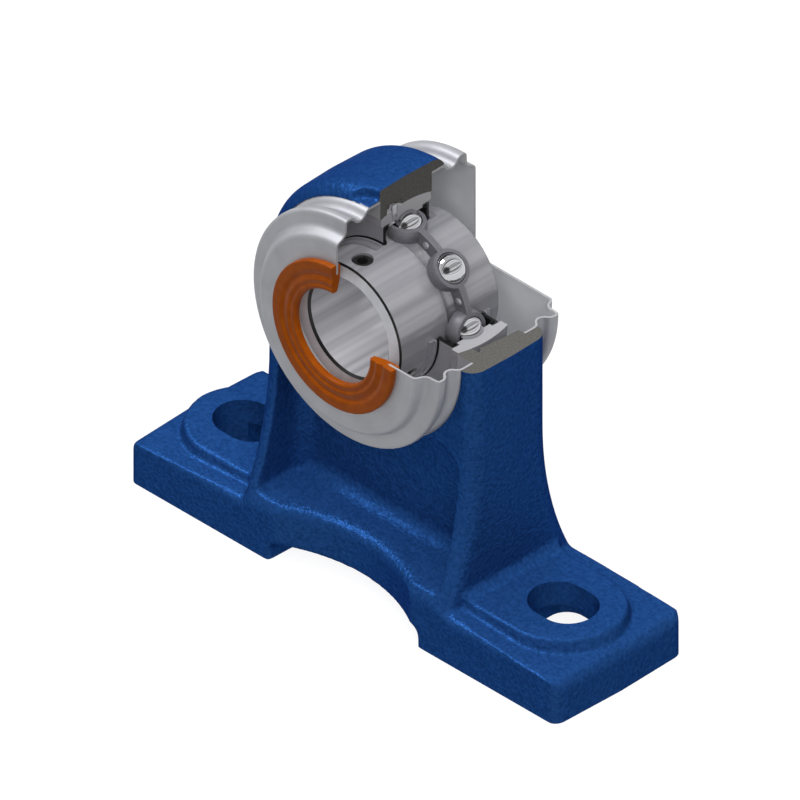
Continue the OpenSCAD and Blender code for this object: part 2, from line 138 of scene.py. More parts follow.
def add_node(tree, kind, inputs=None, **settings):
    """A node of that kind with its settings, and its inputs set to values or linked to sockets."""
    made = tree.nodes.new(kind)
    for name, value in settings.items():
        setattr(made, name, value)
    for key, value in (inputs or {}).items():
        if isinstance(value, bpy.types.NodeSocket):
            tree.links.new(value, made.inputs[key])
        else:
            made.inputs[key].default_value = value
    return made


def new_material(name):
    """An empty node material, with its tree and its output node."""
    material = bpy.data.materials.new(name)
    material.use_nodes = True
    tree = material.node_tree
    tree.nodes.clear()
    return material, tree, add_node(tree, "ShaderNodeOutputMaterial")


def finish_material(tree, output, shader_inputs):
    """Ends a material in a Principled shader with these inputs."""
    shader = add_node(tree, "ShaderNodeBsdfPrincipled", shader_inputs)
    tree.links.new(shader.outputs["BSDF"], output.inputs["Surface"])


def noise(tree, at, size_mm, detail=2.0, roughness=0.5):
    """Noise whose grains are about size_mm across, as a factor from 0 to 1."""
    return add_node(tree, "ShaderNodeTexNoise", {
        "Vector": at, "Scale": 1 / (size_mm * MM), "Detail": detail, "Roughness": roughness,
    }).outputs["Fac"]


def ramp(tree, factor, stops):
    """A colour ramp through (position, hex colour) stops."""
    made = add_node(tree, "ShaderNodeValToRGB", {"Fac": factor})
    elements = made.color_ramp.elements
    while len(elements) < len(stops):
        elements.new(0.5)
    for element, (position, colour) in zip(elements, stops):
        element.position = position
        element.color = linear(colour)
    return made.outputs["Color"]


def spread(tree, value, low, high, to_low, to_high):
    """The value's range low to high, taken to to_low to to_high and clamped."""
    return add_node(tree, "ShaderNodeMapRange", {
        "Value": value, "From Min": low, "From Max": high, "To Min": to_low, "To Max": to_high,
    }).outputs["Result"]


def bump(tree, height, depth_mm, after=None):
    """A bump whose full height is depth_mm, on top of another bump if one is given."""
    inputs = {"Height": height, "Distance": depth_mm * MM, "Strength": 1.0}
    if after is not None:
        inputs["Normal"] = after
    return add_node(tree, "ShaderNodeBump", inputs).outputs["Normal"]


def object_coordinates(tree):
    """Places on the object, as a socket."""
    return add_node(tree, "ShaderNodeTexCoord").outputs["Object"]


def turning_lines(tree, at, pitch_mm):
    """Fine lines that run round the shaft, as a lathe or a grinding wheel leaves them.

    Real ones are less than 0.1 mm apart. These are drawn a few times coarser, so that they show.
    """
    apart = add_node(tree, "ShaderNodeSeparateXYZ", {"Vector": at})
    x = apart.outputs["X"]
    z = add_node(tree, "ShaderNodeMath", {0: apart.outputs["Z"], 1: SHAFT_Z}, operation="SUBTRACT").outputs[0]
    square_x = add_node(tree, "ShaderNodeMath", {0: x, 1: x}, operation="MULTIPLY").outputs[0]
    square = add_node(tree, "ShaderNodeMath", {0: z, 1: z, 2: square_x}, operation="MULTIPLY_ADD").outputs[0]
    radius = add_node(tree, "ShaderNodeMath", {0: square, 1: 0.5}, operation="POWER").outputs[0]
    section = add_node(tree, "ShaderNodeCombineXYZ", {"X": apart.outputs["Y"], "Y": radius, "Z": 0.0})
    return noise(tree, section.outputs["Vector"], pitch_mm, detail=3.0, roughness=0.6)


def painted_reflection_bands(tree, at):
    """Faint bands along the shaft, a dozen or two round a ring: painted reflections of lamps, drawn into the
    colour.
    """
    from_axis = add_node(tree, "ShaderNodeVectorMath", {0: at, 1: (0, 0, SHAFT_Z)}, operation="SUBTRACT")
    across = add_node(tree, "ShaderNodeVectorMath", {
        0: from_axis.outputs["Vector"], 1: (1, 0, 1),
    }, operation="MULTIPLY")
    towards = add_node(tree, "ShaderNodeVectorMath", {0: across.outputs["Vector"]}, operation="NORMALIZE")
    return add_node(tree, "ShaderNodeTexNoise", {
        "Vector": towards.outputs["Vector"], "Scale": 4.0, "Detail": 2.0, "Roughness": 0.5,
    }).outputs["Fac"]


def enamel_on_cast_iron():
    """Blue machine enamel sprayed on sand cast iron: a satin film that follows the sand's grain.

    The eye gets a soft blue shine that sparkles on the grain, with no white haze at the edges.
    """
    material, tree, output = new_material("enamel_on_cast_iron")
    at = object_coordinates(tree)
    # Moulding sand has grains of 0.2 to 0.5 mm, and paint runs several of them together
    grain = noise(tree, at, 1.1, detail=3.0, roughness=0.55)
    swell = noise(tree, at, 7.0)                                 # slow waviness of the casting
    finish_material(tree, output, {
        "Base Color": ramp(tree, grain, [(0.3, "#1a4078"), (0.7, "#275292")]),
        "Metallic": 0.24,
        "Roughness": spread(tree, grain, 0.3, 0.7, 0.38, 0.3),
        "Specular IOR Level": 0.0,
        "Specular Tint": linear("#2f63b4"),
        "Normal": bump(tree, grain, 0.38, bump(tree, swell, 0.2)),
    })
    return material


def milled_grey_iron():
    """Grey cast iron milled through: dark and matt, with no paint.

    Its graphite flakes are 0.1 to 0.3 mm long. The specks are drawn at 0.5 mm, so that they show.
    """
    material, tree, output = new_material("milled_grey_iron")
    specks = noise(tree, object_coordinates(tree), 0.5, detail=4.0, roughness=0.7)
    finish_material(tree, output, {
        "Base Color": ramp(tree, specks, [(0.3, "#4b4a48"), (0.7, "#767571")]),
        "Roughness": 0.7,
        "Specular IOR Level": 0.1,
        "Normal": bump(tree, specks, 0.03),
    })
    return material


def turned_grey_iron():
    """Bored and faced cast iron in the bearing seat: paler than the milled one, with fine tool lines."""
    material, tree, output = new_material("turned_grey_iron")
    lines = turning_lines(tree, object_coordinates(tree), 0.35)
    finish_material(tree, output, {
        "Base Color": ramp(tree, lines, [(0.3, "#9c9ca1"), (0.7, "#b0b0b4")]),
        "Metallic": 0.2,
        "Roughness": 0.5,
        "Normal": bump(tree, lines, 0.01),
    })
    return material


def pressed_steel_sheet(name, dark, light, metallic):
    """Deep drawn stainless sheet, tumbled to a satin: soft wide reflections, faint lines round the shaft."""
    material, tree, output = new_material(name)
    at = object_coordinates(tree)
    lines = turning_lines(tree, at, 0.8)
    cloud = noise(tree, at, 9.0)
    finish_material(tree, output, {
        "Base Color": ramp(tree, cloud, [(0.3, dark), (0.7, light)]),
        "Metallic": metallic,
        "Roughness": spread(tree, lines, 0.3, 0.7, 0.56, 0.64),
        "Normal": bump(tree, lines, 0.004),
    })
    return material


def bearing_steel(name, dark, light, metallic, roughness):
    """Hardened chrome steel, turned or ground round the shaft: bright, with a soft shine and bands of painted
    reflection in its colour.
    """
    material, tree, output = new_material(name)
    at = object_coordinates(tree)
    lines = turning_lines(tree, at, 0.25)
    finish_material(tree, output, {
        # Lighter and darker bands round the shaft in the base colour: painted reflections of lamps
        "Base Color": ramp(tree, painted_reflection_bands(tree, at), [(0.35, dark), (0.65, light)]),
        "Metallic": metallic,
        "Roughness": spread(tree, lines, 0.3, 0.7, roughness, roughness + 0.04),
        "Normal": bump(tree, lines, 0.0002),
    })
    return material


def lapped_ball_steel():
    """Lapped chrome steel balls: a near mirror, with the faintest haze."""
    material, tree, output = new_material("lapped_ball_steel")
    haze = noise(tree, object_coordinates(tree), 1.5)
    finish_material(tree, output, {
        "Base Color": linear("#bdbdc1"),
        "Metallic": 1.0,
        "Roughness": spread(tree, haze, 0.3, 0.7, 0.06, 0.10),
    })
    return material


def phosphated_sheet(name, dark, light, metallic):
    """Steel sheet with a grey phosphate coat, or near black: dull and slightly speckled.

    Its crystals are far under 0.1 mm. The specks are drawn at 0.4 mm, so that they show.
    """
    material, tree, output = new_material(name)
    specks = noise(tree, object_coordinates(tree), 0.4, detail=3.0)
    finish_material(tree, output, {
        "Base Color": ramp(tree, specks, [(0.3, dark), (0.7, light)]),
        "Metallic": metallic,
        "Roughness": spread(tree, specks, 0.3, 0.7, 0.38, 0.5),
        "Normal": bump(tree, specks, 0.01),
    })
    return material


def moulded_rubber(name, dark, light, roughness):
    """Moulded nitrile rubber: an even colour, a dim sheen and a faintly clouded skin.

    The mould's spark marks are about 0.05 mm wide. The skin is drawn at 0.35 mm, so that it shows.
    """
    material, tree, output = new_material(name)
    at = object_coordinates(tree)
    cloud = noise(tree, at, 2.5)
    skin = noise(tree, at, 0.35)
    finish_material(tree, output, {
        "Base Color": ramp(tree, cloud, [(0.3, dark), (0.7, light)]),
        "Specular IOR Level": 0.07,
        "Roughness": spread(tree, skin, 0.3, 0.7, roughness, roughness + 0.12),
        "Normal": bump(tree, skin, 0.008),
    })
    return material


def black_oxide_steel():
    """Set screws of alloy steel with an oiled black oxide skin: nearly black, with a dim sheen."""
    material, tree, output = new_material("black_oxide_steel")
    skin = noise(tree, object_coordinates(tree), 0.6)
    finish_material(tree, output, {
        "Base Color": ramp(tree, skin, [(0.3, "#2c2c2c"), (0.7, "#3c3c3b")]),
        "Metallic": 0.5,
        "Roughness": spread(tree, skin, 0.3, 0.7, 0.3, 0.42),
    })
    return material


def bright_turned_steel():
    """Small turned and stamped steel pieces left bright, with a satin shine."""
    material, tree, output = new_material("bright_turned_steel")
    lines = turning_lines(tree, object_coordinates(tree), 0.3)
    finish_material(tree, output, {
        "Base Color": linear("#b9b9be"),
        "Metallic": 0.7,
        "Roughness": spread(tree, lines, 0.3, 0.7, 0.28, 0.38),
    })
    return material


def dress(names, material):
    """Gives CAD nodes one material each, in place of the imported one."""
    for name in names:
        mesh = NODES[name].data
        mesh.materials.clear()
        mesh.materials.append(material)


def dress_faces(mesh, materials, slots):
    """Gives a mesh several materials, and each of its faces the number of one of them."""
    mesh.materials.clear()
    for material in materials:
        mesh.materials.append(material)
    mesh.polygons.foreach_set("material_index", slots.astype(np.int32))
    mesh.update()


def face_centres(mesh):
    """Centres and normals of a mesh's faces, as arrays."""
    centres = np.zeros(len(mesh.polygons) * 3)
    normals = np.zeros(len(mesh.polygons) * 3)
    mesh.polygons.foreach_get("center", centres)
    mesh.polygons.foreach_get("normal", normals)
    return centres.reshape(-1, 3), normals.reshape(-1, 3)


def from_shaft(centres):
    """How far places lie from the shaft's axis."""
    return np.hypot(centres[:, 0], centres[:, 2] - SHAFT_Z)


def on_cut_faces(centres, normals):
    """Which faces lie on one of the two faces where the quarter was cut away."""
    upright = (abs(centres[:, 0]) < CUT_TOLERANCE) & (normals[:, 0] > 0.99) & (centres[:, 2] > SHAFT_Z)
    level = (abs(centres[:, 2] - SHAFT_Z) < CUT_TOLERANCE) & (normals[:, 2] > 0.99) & (centres[:, 0] > 0)
    return upright | level


def shade_smooth(mesh, sharp_angle):
    """Shades a mesh smooth, but for the edges that bend more than this many degrees."""
    mesh.polygons.foreach_set("use_smooth", np.ones(len(mesh.polygons), bool))
    mesh.set_sharp_from_angle(angle=math.radians(sharp_angle))


def add_ring(bm, profile, segments=160):
    """A closed solid of revolution about the shaft, from (place along the shaft, radius) points."""
    rings = []
    for y, radius in profile:
        turns = [2 * math.pi * i / segments for i in range(segments)]
        rings.append([bm.verts.new((radius * math.sin(t), y, SHAFT_Z + radius * math.cos(t))) for t in turns])
    for low, high in zip(rings, rings[1:]):
        for i in range(segments):
            j = (i + 1) % segments
            bm.faces.new((low[i], low[j], high[j], high[i]))
    bm.faces.new(rings[0][::-1])
    bm.faces.new(rings[-1])


def add_box(bm, low, high):
    """A box between two corners."""
    made = bmesh.ops.create_cube(bm, size=1)["verts"]
    for vert in made:
        vert.co = Vector(low[i] if vert.co[i] < 0 else high[i] for i in range(3))


def long_hole(x, y, half_x, half_y, radius, segments=64):
    """Outline of a hole with round corners: its middle, the corners' centres from there and their radius."""
    outline = []
    for i in range(segments):
        turn = 2 * math.pi * (i + 0.5) / segments
        outline.append((
            x + math.copysign(half_x, math.cos(turn)) + radius * math.cos(turn),
            y + math.copysign(half_y, math.sin(turn)) + radius * math.sin(turn),
        ))
    return outline


def add_prism(bm, outline, bottom, top):
    """An upright prism over an outline."""
    low = [bm.verts.new((x, y, bottom)) for x, y in outline]
    high = [bm.verts.new((x, y, top)) for x, y in outline]
    for i in range(len(outline)):
        j = (i + 1) % len(outline)
        bm.faces.new((low[i], low[j], high[j], high[i]))
    bm.faces.new(low[::-1])
    bm.faces.new(high)


def object_from(bm, name):
    """An object of a finished bmesh, linked to the scene, with its faces pointing outwards."""
    bmesh.ops.recalc_face_normals(bm, faces=bm.faces)
    mesh = bpy.data.meshes.new(name)
    bm.to_mesh(mesh)
    bm.free()
    made = bpy.data.objects.new(name, mesh)
    bpy.context.scene.collection.objects.link(made)
    return made


def settle(made):
    """Puts the result of an object's modifiers in its mesh."""
    ready = made.evaluated_get(bpy.context.evaluated_depsgraph_get())
    mesh = bpy.data.meshes.new_from_object(ready)
    made.modifiers.clear()
    made.data = mesh


def cut_away(made, cutter):
    """Takes the cutter's shape out of an object, and removes the cutter."""
    cutting = made.modifiers.new("cut", "BOOLEAN")
    cutting.operation = "DIFFERENCE"
    cutting.solver = "MANIFOLD"
    cutting.object = cutter
    settle(made)
    bpy.data.objects.remove(cutter)


def quarter():
    """A cutter for the quarter that is cut away: right of the shaft's axis and above it."""
    bm = bmesh.new()
    add_box(bm, (0, -FAR, SHAFT_Z), (FAR, FAR, SHAFT_Z + FAR))
    return object_from(bm, "quarter")


def casting_blank():
    """The housing as it leaves the mould: whole, with no bore or slots, and with room to plane its feet."""
    bm = bmesh.new()
    bm.from_mesh(NODES["housing"].data)
    bmesh.ops.remove_doubles(bm, verts=bm.verts, dist=MERGE)
    # The left half is whole, so its mirror image stands in for the right half
    bmesh.ops.bisect_plane(
        bm, geom=bm.verts[:] + bm.edges[:] + bm.faces[:], dist=MERGE / 2,
        plane_co=(0, 0, 0), plane_no=(1, 0, 0), clear_outer=True,
    )
    flat = [face for face in bm.faces if all(abs(vert.co.x) < MERGE for vert in face.verts)]
    bmesh.ops.delete(bm, geom=flat, context="FACES")
    twin = bmesh.ops.duplicate(bm, geom=bm.verts[:] + bm.edges[:] + bm.faces[:])["geom"]
    for part in twin:
        if isinstance(part, bmesh.types.BMVert):
            part.co.x = -part.co.x
    bmesh.ops.reverse_faces(bm, faces=[part for part in twin if isinstance(part, bmesh.types.BMFace)])
    bmesh.ops.remove_doubles(bm, verts=bm.verts, dist=MERGE)
    for vert in bm.verts:
        if vert.co.z < MERGE:
            vert.co.z = -PLANING
    plug_r = COVER_SEAT_R + PLUG_OVERLAP
    add_ring(bm, [(SUNK - HEAD_HALF, plug_r), (HEAD_HALF - SUNK, plug_r)])
    for side in (-1, 1):
        plug = long_hole(side * SLOT_X, 0, SLOT_HALF, 0, SLOT_R + PLUG_OVERLAP)
        add_prism(bm, plug, -PLANING, PAD_TOP - SUNK)
        # Metal in the corner between foot and pedestal, which the smoothing turns into a fillet
        inside = side * (HEAD_SIDE - 2 * MM)
        bottom = 8 * MM
        half_depth = 18 * MM
        for step in range(FILLET_STEPS):
            outside = side * (HEAD_SIDE + FILLET * (1 - step / FILLET_STEPS) ** 2)
            top = PAD_TOP + FILLET * step / (FILLET_STEPS - 1)
            low = (min(inside, outside), -half_depth, bottom)
            add_box(bm, low, (max(inside, outside), half_depth, top))
    return object_from(bm, "housing_casting")


def smooth_casting(made):
    """Rounds the casting's edges as sand does, most at the waist and the feet, and gives its walls draft."""
    mesh = made.data
    count = len(mesh.vertices)
    places = np.zeros(count * 3)
    mesh.vertices.foreach_get("co", places)
    places = places.reshape(-1, 3)
    ends = np.zeros(len(mesh.edges) * 2, int)
    mesh.edges.foreach_get("vertices", ends)
    ends = ends.reshape(-1, 2)
    neighbours = np.bincount(ends.ravel(), minlength=count)[:, None]

    def smooth(share, times):
        """Moves each corner half of its share of the way to its neighbours' middle."""
        for _ in range(times):
            total = np.stack([
                np.bincount(ends[:, 0], weights=places[ends[:, 1], i], minlength=count)
                + np.bincount(ends[:, 1], weights=places[ends[:, 0], i], minlength=count)
                for i in range(3)
            ], axis=1)
            places[:] += 0.5 * share[:, None] * (total / neighbours - places)

    def below(values, top, fade):
        """0 above the top, and 1 from a fade's depth under it."""
        return np.clip((top - values) / fade, 0, 1)

    def near(values, edge, reach):
        """1 at the edge, and 0 beyond the reach."""
        return np.clip(1 - abs(values - edge) / reach, 0, 1)

    smooth(np.ones(count), 2)
    waist = below(places[:, 2], 34 * MM, 8 * MM) * below(abs(places[:, 0]), 46 * MM, 5 * MM)
    smooth(waist, 7)
    # The feet's upright corners are the roundest edges of all
    x, y = abs(places[:, 0]), abs(places[:, 1])
    foot_ends = np.maximum(near(x, x.max(), 3 * MM), near(x, WAIST_HALF, 4 * MM))
    smooth(near(y, y.max(), 3 * MM) * foot_ends * (places[:, 2] < 17 * MM), 24)

    mesh.vertices.foreach_set("co", places.ravel())
    mesh.update()
    normals = np.zeros(count * 3)
    mesh.vertices.foreach_get("normal", normals)
    normals = normals.reshape(-1, 3)
    normals[:, 1] = 0
    from_parting = np.clip(abs(places[:, 1]), 0, 25 * MM) - 8 * MM
    places -= normals * (DRAFT * from_parting)[:, None]
    mesh.vertices.foreach_set("co", places.ravel())
    mesh.update()


def machining_cutters():
    """What is sawn, planed, slotted, cored and bored out of the casting, as one object for each."""
    yield quarter()
    planed = bmesh.new()
    add_box(planed, (-FAR, -FAR, -FAR), (FAR, FAR, 0))
    yield object_from(planed, "planed")
    under = -10 * MM
    for side in (-1, 1):
        milled = bmesh.new()
        add_prism(milled, long_hole(side * SLOT_X, 0, SLOT_HALF, 0, SLOT_R), under, 30 * MM)
        yield object_from(milled, "slot")
        # The feet are cast hollow underneath, so the floor shows through the right slot
        cored = bmesh.new()
        add_prism(cored, long_hole(side * CORE_X, 0, *CORE_HALF, CORE_R), under, CORE_TOP)
        yield object_from(cored, "core")
        loading = bmesh.new()
        outline = [(side * x, y) for x, y in LOADING_SLOT]
        add_prism(loading, outline, SHAFT_Z - LOADING_DEPTH, SHAFT_Z + LOADING_DEPTH)
        yield object_from(loading, "loading_slot")
    drilled = bmesh.new()
    add_prism(drilled, long_hole(0, PIN_Y, 0, PIN_SWING, PIN_POCKET_R), SHAFT_Z, SHAFT_Z + PIN_POCKET_TOP)
    yield object_from(drilled, "pin_pocket")
    bored = bmesh.new()
    beyond = 30 * MM
    profile = [(-beyond, COVER_SEAT_R), (-SEAT_HALF, COVER_SEAT_R), (-SEAT_HALF, SEAT_MOUTH_R)]
    for y in np.linspace(-SEAT_END, GROOVE[0], 6):
        profile.append((y, math.sqrt(SEAT_R ** 2 - y ** 2)))
    profile += [(GROOVE[0], GROOVE_R), (GROOVE[1], GROOVE_R)]
    for y in np.linspace(GROOVE[1], SEAT_END, 16):
        profile.append((y, math.sqrt(SEAT_R ** 2 - y ** 2)))
    profile += [(SEAT_HALF, SEAT_MOUTH_R), (SEAT_HALF, COVER_SEAT_R), (beyond, COVER_SEAT_R)]
    add_ring(bored, profile)
    yield object_from(bored, "bore")


def make_casting(paint, cut, turned):
    """The cast housing with its soft edges, machined and sawn open afterwards."""
    made = casting_blank()
    remesh = made.modifiers.new("sand", "REMESH")
    remesh.mode = "VOXEL"
    remesh.voxel_size = GRAIN
    settle(made)
    smooth_casting(made)
    thinned = made.modifiers.new("thinned", "DECIMATE")
    thinned.ratio = FACES_KEPT
    settle(made)
    for cutter in machining_cutters():
        cut_away(made, cutter)
    dress_housing(made.data, paint, cut, turned)
    shade_smooth(made.data, 38)
    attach(made, "housing")
    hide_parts("housing")


def dress_housing(mesh, paint, cut, turned):
    """Paint outside, milled iron on the cut faces and in the pin's pocket, turned iron inside and below."""
    centres, normals = face_centres(mesh)
    radius = from_shaft(centres)
    slots = np.zeros(len(centres), int)
    slots[radius < COVER_SEAT_R + 0.02 * MM] = 2
    slots[(centres[:, 2] < CUT_TOLERANCE) & (normals[:, 2] < -0.99)] = 2
    margin = 0.05 * MM
    in_pocket = (abs(centres[:, 0]) < PIN_POCKET_R + margin) & (centres[:, 2] > SHAFT_Z + 30 * MM)
    in_pocket &= abs(centres[:, 1] - PIN_Y) < PIN_SWING + PIN_POCKET_R + margin
    in_pocket &= radius < PIN_POCKET_TOP + 2 * margin
    slots[on_cut_faces(centres, normals) | in_pocket] = 1
    dress_faces(mesh, (paint, cut, turned), slots)


def dress_cover(name, outside, inside, cut):
    """A cover's tumbled outside, its inside painted lighter for the light that the cover's shade keeps off,
    and the sawn edge of its sheet.
    """
    mesh = NODES[name].data
    centres, normals = face_centres(mesh)
    # The outside looks away from the axis and towards the cover's flat face
    outwards = centres - [0, 0, SHAFT_Z]
    outwards[:, 1] = 0
    outwards /= np.maximum(np.linalg.norm(outwards, axis=1), 1e-9)[:, None]
    outwards[:, 1] = 0.6 * np.sign(centres[:, 1])
    slots = np.where((normals * outwards).sum(axis=1) < 0, 1, 0)
    slots[on_cut_faces(centres, normals)] = 2
    dress_faces(mesh, (outside, inside, cut), slots)


def dress_inner_ring(ground, turned, honed, near_black):
    """Ground outside and raceway, turned ends and a honed bore painted lighter against the covers' shade, and
    near black chamfers as painted shade.
    """
    mesh = NODES["inner_ring"].data
    centres, normals = face_centres(mesh)
    from_end = np.minimum(centres[:, 1] - centres[:, 1].min(), centres[:, 1].max() - centres[:, 1])
    lean = abs(normals[:, 1])
    slots = np.zeros(len(centres), int)
    slots[(lean > 0.99) & (from_end < 0.1 * MM)] = 1
    slots[from_shaft(centres) < BORE_R + 0.05 * MM] = 2
    # The chamfers get near black: a painted shade for the dark lines at the ring's edges
    slots[(lean > 0.4) & (lean < 0.95) & (from_end < 1.5 * MM)] = 3
    dress_faces(mesh, (ground, turned, honed, near_black), slots)


def dress_cut(name, skin, cut):
    """A piece's own finish, and another on the faces where it was sawn open."""
    mesh = NODES[name].data
    centres, normals = face_centres(mesh)
    dress_faces(mesh, (skin, cut), on_cut_faces(centres, normals))


def group_input(group, name, kind, value):
    """A named input of a geometry group, and its identifier."""
    socket = group.interface.new_socket(name=name, in_out="INPUT", socket_type=kind)
    socket.default_value = value
    return socket.identifier


def rivet_tree(steel):
    """Domed rivets round a ring: count, pitch radius, head radius, head height, grip and first angle."""
    group = bpy.data.node_groups.new("rivets_round_a_ring", "GeometryNodeTree")
    names = {
        name: group_input(group, name, kind, value) for name, kind, value in (
            ("Count", "NodeSocketInt", 8),
            ("Pitch Radius", "NodeSocketFloat", 23 * MM),
            ("Head Radius", "NodeSocketFloat", 1 * MM),
            ("Head Height", "NodeSocketFloat", 0.4 * MM),
            ("Grip", "NodeSocketFloat", 2 * MM),
            ("First Angle", "NodeSocketFloat", 0.0),
        )
    }
    group.interface.new_socket(name="Geometry", in_out="OUTPUT", socket_type="NodeSocketGeometry")
    given = add_node(group, "NodeGroupInput").outputs
    half = add_node(group, "ShaderNodeMath", {0: given["Grip"], 1: 0.5}, operation="MULTIPLY").outputs[0]
    # One rivet, along its own Z: a shank and a dome at either end
    shank_r = add_node(group, "ShaderNodeMath", {0: given["Head Radius"], 1: 0.6}, operation="MULTIPLY")
    shank = add_node(group, "GeometryNodeMeshCylinder", {
        "Vertices": 20, "Radius": shank_r.outputs[0], "Depth": given["Grip"],
    }).outputs["Mesh"]
    ball = add_node(group, "GeometryNodeMeshUVSphere", {"Segments": 24, "Rings": 14, "Radius": 1.0})
    size = add_node(group, "ShaderNodeCombineXYZ", {
        "X": given["Head Radius"], "Y": given["Head Radius"], "Z": given["Head Height"],
    }).outputs["Vector"]
    parts = [shank]
    for end in (-1, 1):
        place = add_node(group, "ShaderNodeMath", {0: half, 1: end}, operation="MULTIPLY").outputs[0]
        at = add_node(group, "ShaderNodeCombineXYZ", {"Z": place}).outputs["Vector"]
        parts.append(add_node(group, "GeometryNodeTransform", {
            "Geometry": ball.outputs["Mesh"], "Scale": size, "Translation": at,
        }).outputs["Geometry"])
    rivet = add_node(group, "GeometryNodeJoinGeometry")
    for part in parts:
        group.links.new(part, rivet.inputs["Geometry"])
    ring = add_node(group, "GeometryNodeMeshCircle", {
        "Vertices": given["Count"], "Radius": given["Pitch Radius"],
    }).outputs["Mesh"]
    copies = add_node(group, "GeometryNodeInstanceOnPoints", {
        "Points": ring, "Instance": rivet.outputs["Geometry"],
    }).outputs["Instances"]
    spin = add_node(group, "ShaderNodeCombineXYZ", {"Z": given["First Angle"]}).outputs["Vector"]
    spun = add_node(group, "GeometryNodeTransform", {"Geometry": copies, "Rotation": spin})
    lying = add_node(group, "GeometryNodeTransform", {
        "Geometry": spun.outputs["Geometry"], "Rotation": (math.pi / 2, 0, 0), "Translation": (0, 0, SHAFT_Z),
    }).outputs["Geometry"]
    real = add_node(group, "GeometryNodeRealizeInstances", {"Geometry": lying}).outputs["Geometry"]
    smooth = add_node(group, "GeometryNodeSetShadeSmooth", {"Geometry": real}).outputs["Geometry"]
    done = add_node(group, "GeometryNodeSetMaterial", {"Geometry": smooth, "Material": steel})
    add_node(group, "NodeGroupOutput", {"Geometry": done.outputs["Geometry"]})
    return group, names


def make_rivets(steel):
    """The cage's rivets, half way between the balls, with domed heads as a riveting punch leaves them."""
    made = bpy.data.objects.new("cage_rivet_heads", bpy.data.meshes.new("cage_rivet_heads"))
    bpy.context.scene.collection.objects.link(made)
    group, names = rivet_tree(steel)
    rows = made.modifiers.new("rivets", "NODES")
    rows.node_group = group
    rows[names["Count"]] = BALLS
    rows[names["Pitch Radius"]] = CAGE_PITCH_R
    rows[names["Head Radius"]] = RIVET_HEAD_R
    rows[names["Head Height"]] = RIVET_HEAD
    rows[names["Grip"]] = 2 * (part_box("cage_rivets")[1][1] - RIVET_HEAD)
    rows[names["First Angle"]] = math.radians(180 / BALLS)
    settle(made)
    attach(made, "cage")
    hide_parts("cage_rivets")


def saw_open(name, steel):
    """A copy of a CAD ring that turns with the inner ring, with the quarter sawn out of it."""
    bm = bmesh.new()
    bm.from_mesh(NODES[name].data)
    bmesh.ops.remove_doubles(bm, verts=bm.verts, dist=MERGE)
    made = object_from(bm, name + "_cut")
    cut_away(made, quarter())
    made.data.materials.clear()
    made.data.materials.append(steel)
    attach(made, "inner_ring")
    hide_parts(name)


def sweep_round_shaft(name, outline, slots, cap, steps=180):
    """A (radius, y) outline swept round the shaft, up to the quarter that is cut away.

    Each of its edges makes faces in the material of that number in slots. Its ends have the cap's material.
    """
    bm = bmesh.new()
    sections = []
    for step in range(steps + 1):
        turn = math.radians(90 + 270 * step / steps)
        across, up = math.sin(turn), math.cos(turn)
        sections.append([bm.verts.new((radius * across, y, SHAFT_Z + radius * up)) for radius, y in outline])
    for here, there in zip(sections, sections[1:]):
        for i in range(len(outline)):
            j = (i + 1) % len(outline)
            bm.faces.new((here[i], here[j], there[j], there[i])).material_index = slots[i]
    for section in (sections[0], sections[-1]):
        bm.faces.new(section).material_index = cap
    made = object_from(bm, name)
    shade_smooth(made.data, 40)
    return made


def rounded(path, reach, steps):
    """The path with each corner rounded by a curve that starts this far before it, or half way at most."""
    points = [np.array(path[0])]
    for before, corner, after in zip(path, path[1:], path[2:]):
        before, corner, after = (np.array(point) for point in (before, corner, after))
        into, out = before - corner, after - corner
        start = corner + into * min(0.5, reach / np.linalg.norm(into))
        end = corner + out * min(0.5, reach / np.linalg.norm(out))
        for i in range(steps + 1):
            t = i / steps
            point = (1 - t) ** 2 * start + 2 * t * (1 - t) * corner + t ** 2 * end
            # Two curves that meet half way share a point, which is kept once
            if np.linalg.norm(point - points[-1]) > MERGE:
                points.append(point)
    points.append(np.array(path[-1]))
    return points


def make_cover(name, hole_r, side, materials):
    """A cover pressed from sheet, with the wide soft bends that a drawing tool leaves."""
    path = [
        (hole_r, COVER_FACE), (29.8 * MM, COVER_FACE),                 # flat face
        (31.3 * MM, 23.5 * MM), (COVER_RIM_R, 23.3 * MM),              # step down to the bead
        (COVER_RIM_R, 20.2 * MM), (BEAD_R, 18.6 * MM),                 # bead
        (BEAD_R, 16.6 * MM), (COVER_RIM_R, 15 * MM),                   # groove
        (COVER_RIM_R, 10 * MM),                                        # rim in the counterbore
    ]
    outer = rounded(path, BEND, 8)
    inner = []
    for i, point in enumerate(outer):
        along = outer[min(i + 1, len(outer) - 1)] - outer[max(i - 1, 0)]
        inner.append(point + np.array([along[1], -along[0]]) * (SHEET / np.linalg.norm(along)))
    outline = [(radius, side * y) for radius, y in outer + inner[::-1]]
    last = len(outer) - 1
    # Slots of the outside, the rim's edge, the inside and the hole's edge
    slots = [0] * last + [2] + [1] * last + [2]
    made = sweep_round_shaft(name + "_pressed", outline, slots, 2)
    for material in materials:
        made.data.materials.append(material)
    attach(made, "housing")
    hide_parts(name)


